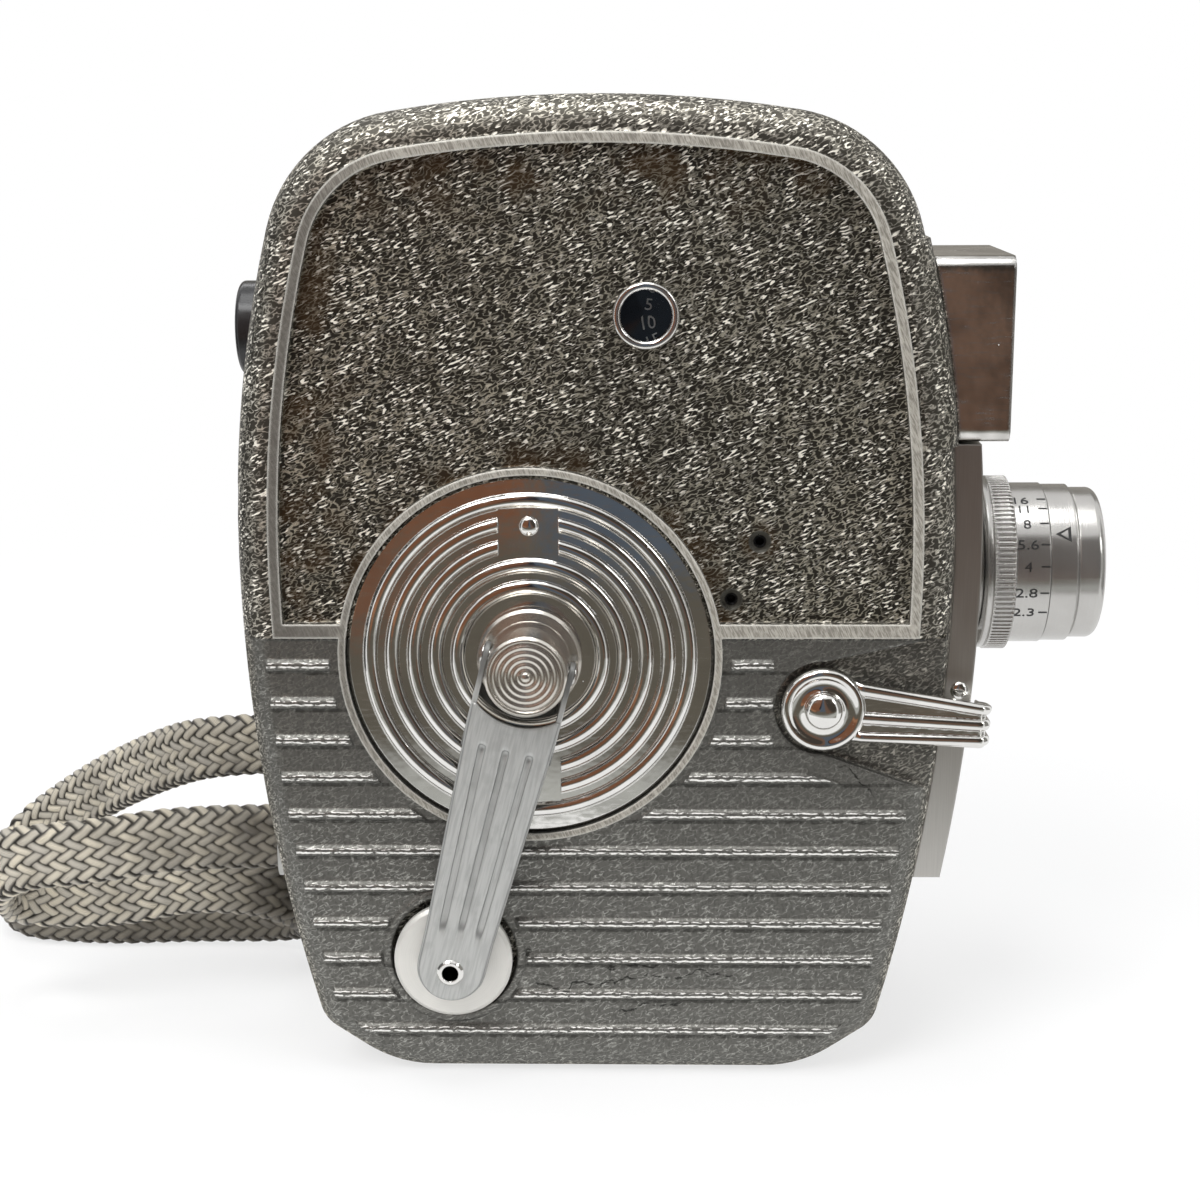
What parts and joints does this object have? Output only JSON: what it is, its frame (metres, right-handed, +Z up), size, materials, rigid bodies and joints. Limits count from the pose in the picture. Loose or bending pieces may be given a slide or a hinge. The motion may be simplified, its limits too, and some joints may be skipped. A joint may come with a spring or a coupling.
{
  "type": "movie camera",
  "caption": "Spring-wound hand-held film camera with folding winding crank, ridged start lever, fixed lens with aperture ring, box finder, lift-off film cover and braided wrist strap.",
  "frame": {"origin": "mouth of the tripod socket, in the middle of the flat base", "axes": "+X the way the lens looks, +Y towards the film cover (the winding side faces -Y), +Z up"},
  "size_m": [0.1697, 0.0731, 0.13],
  "materials": {
    "crackle_alloy": "silver-grey crackle finish over die-cast aluminium",
    "chrome": "polished chrome plate",
    "turned_aluminium": "turned and knurled, bright",
    "brushed_plate": "brushed sheet",
    "steel": "plain machined steel",
    "brass": "cut brass",
    "black_enamel": "flat black enamel",
    "black_plastic": "black moulded",
    "bush_steel": "plain steel",
    "optical_glass": "clear coated glass",
    "braid": "flat braid of grey and tan yarn"
  },
  "bodies": {
    "camera_body": {"main_casting": "crackle_alloy", "winding_disc": "chrome", "disc_screws": "chrome", "click_spring": "steel", "mechanism_plate": "black_enamel", "plate_screws": "steel", "latch_post": "steel", "film_gate": "steel", "claw_pins": "steel", "pressure_bracket": "steel", "pressure_spring": "steel", "shutter_bearing": "steel", "counter_bezel": "chrome", "counter_glass": "optical_glass", "counter_stud": "steel", "finder_tube": "black_enamel", "eyepiece": "black_plastic", "eyepiece_lens": "optical_glass", "finder_lens": "optical_glass", "finder_hood": "chrome", "front_plate": "brushed_plate", "front_studs": "chrome", "lens_mount": "turned_aluminium", "lens_barrel": "turned_aluminium", "front_lens": "optical_glass", "rear_lens": "optical_glass", "iris": "black_enamel", "tripod_bush": "bush_steel", "strap_ferrules": "turned_aluminium", "wrist_strap": "braid"},
    "winder": {"winding_hub": "chrome", "hinge_pins": "chrome", "winding_arbor": "steel"},
    "crank": {"crank_arm": "chrome", "crank_rivet": "chrome"},
    "knob": {"crank_knob": "turned_aluminium"},
    "barrel": {"mainspring_barrel": "steel", "mainspring": "steel", "barrel_gear": "brass"},
    "takeup": {"takeup_pinion": "brass", "takeup_spindle": "steel"},
    "drive": {"drive_pinion": "brass", "drive_shaft": "steel", "crown_wheel": "brass", "governor": "steel"},
    "shutter": {"shutter_shaft": "steel", "shutter_disc": "black_enamel"},
    "supply": {"supply_spindle": "steel"},
    "lever": {"start_lever": "chrome", "lever_spindle": "chrome", "brake_arm": "steel"},
    "counter": {"counter_dial": "black_enamel"},
    "aperture": {"aperture_ring": "turned_aluminium"},
    "cover": {"film_cover": "crackle_alloy"},
    "latch": {"latch_knob": "chrome", "latch_rotor": "steel"},
    "pressure": {"pressure_plate": "steel"},
    "claw_bar": {"claw": "steel"}
  },
  "joints": [
    {"name": "crank_wind", "type": "hinge", "parent": "camera_body", "child": "winder", "pos_m": [-0.0085, -0.025, 0.0588], "axis": [0, 1, 0], "range_deg": [-3, 3]},
    {"name": "crank_fold", "type": "hinge", "parent": "winder", "child": "crank", "pos_m": [-0.0085, -0.0286, 0.0588], "axis": [-0.9681, 0, 0.2504], "range_deg": [0, 165]},
    {"name": "knob_spin", "type": "hinge", "parent": "crank", "child": "knob", "pos_m": [-0.01919, -0.025, 0.01746], "axis": [0, 1, 0], "continuous": true},
    {"name": "barrel_spin", "type": "hinge", "parent": "camera_body", "child": "barrel", "pos_m": [-0.0085, -0.015, 0.0588], "axis": [0, 1, 0], "continuous": true},
    {"name": "takeup_spin", "type": "hinge", "parent": "camera_body", "child": "takeup", "pos_m": [-0.012, -0.0085, 0.03344], "axis": [0, 1, 0], "continuous": true},
    {"name": "drive_spin", "type": "hinge", "parent": "camera_body", "child": "drive", "pos_m": [0.01675, -0.0085, 0.065], "axis": [0, 1, 0], "continuous": true},
    {"name": "shutter_spin", "type": "hinge", "parent": "camera_body", "child": "shutter", "pos_m": [0.03, -0.0042, 0.065], "axis": [1, 0, 0], "continuous": true},
    {"name": "supply_spin", "type": "hinge", "parent": "camera_body", "child": "supply", "pos_m": [-0.012, 0.008, 0.086], "axis": [0, 1, 0], "continuous": true},
    {"name": "counter_spin", "type": "hinge", "parent": "camera_body", "child": "counter", "pos_m": [0.0146, -0.0214, 0.1029], "axis": [0, 1, 0], "continuous": true},
    {"name": "lever_press", "type": "hinge", "parent": "camera_body", "child": "lever", "pos_m": [0.0296, -0.025, 0.052], "axis": [0, 1, 0], "range_deg": [-10, 10], "stiffness_Nm_per_rad": 0.05},
    {"name": "aperture_turn", "type": "hinge", "parent": "camera_body", "child": "aperture", "pos_m": [0.0597, 0.005, 0.065], "axis": [1, 0, 0], "range_deg": [-59, 30]},
    {"name": "cover_lift", "type": "slide", "parent": "camera_body", "child": "cover", "axis": [0, 1, 0], "range_m": [0, 0.03]},
    {"name": "latch_turn", "type": "hinge", "parent": "cover", "child": "latch", "pos_m": [0.016, 0.0235, 0.06], "axis": [0, 1, 0], "range_deg": [0, 90]},
    {"name": "pressure_slide", "type": "slide", "parent": "camera_body", "child": "pressure", "axis": [-1, 0, 0], "range_m": [0, 0.001], "stiffness_N_per_m": 300},
    {"name": "claw_stroke", "type": "slide", "parent": "camera_body", "child": "claw_bar", "axis": [0, 0, 1], "range_m": [-0.0019, 0.0019]}
  ],
  "couplings": [
    {"joint": "takeup_spin", "follows": "barrel_spin", "ratio": -4.3333},
    {"joint": "drive_spin", "follows": "barrel_spin", "ratio": -4},
    {"joint": "shutter_spin", "follows": "barrel_spin", "ratio": -10},
    {"joint": "counter_spin", "follows": "barrel_spin", "ratio": 0.05}
  ]
}
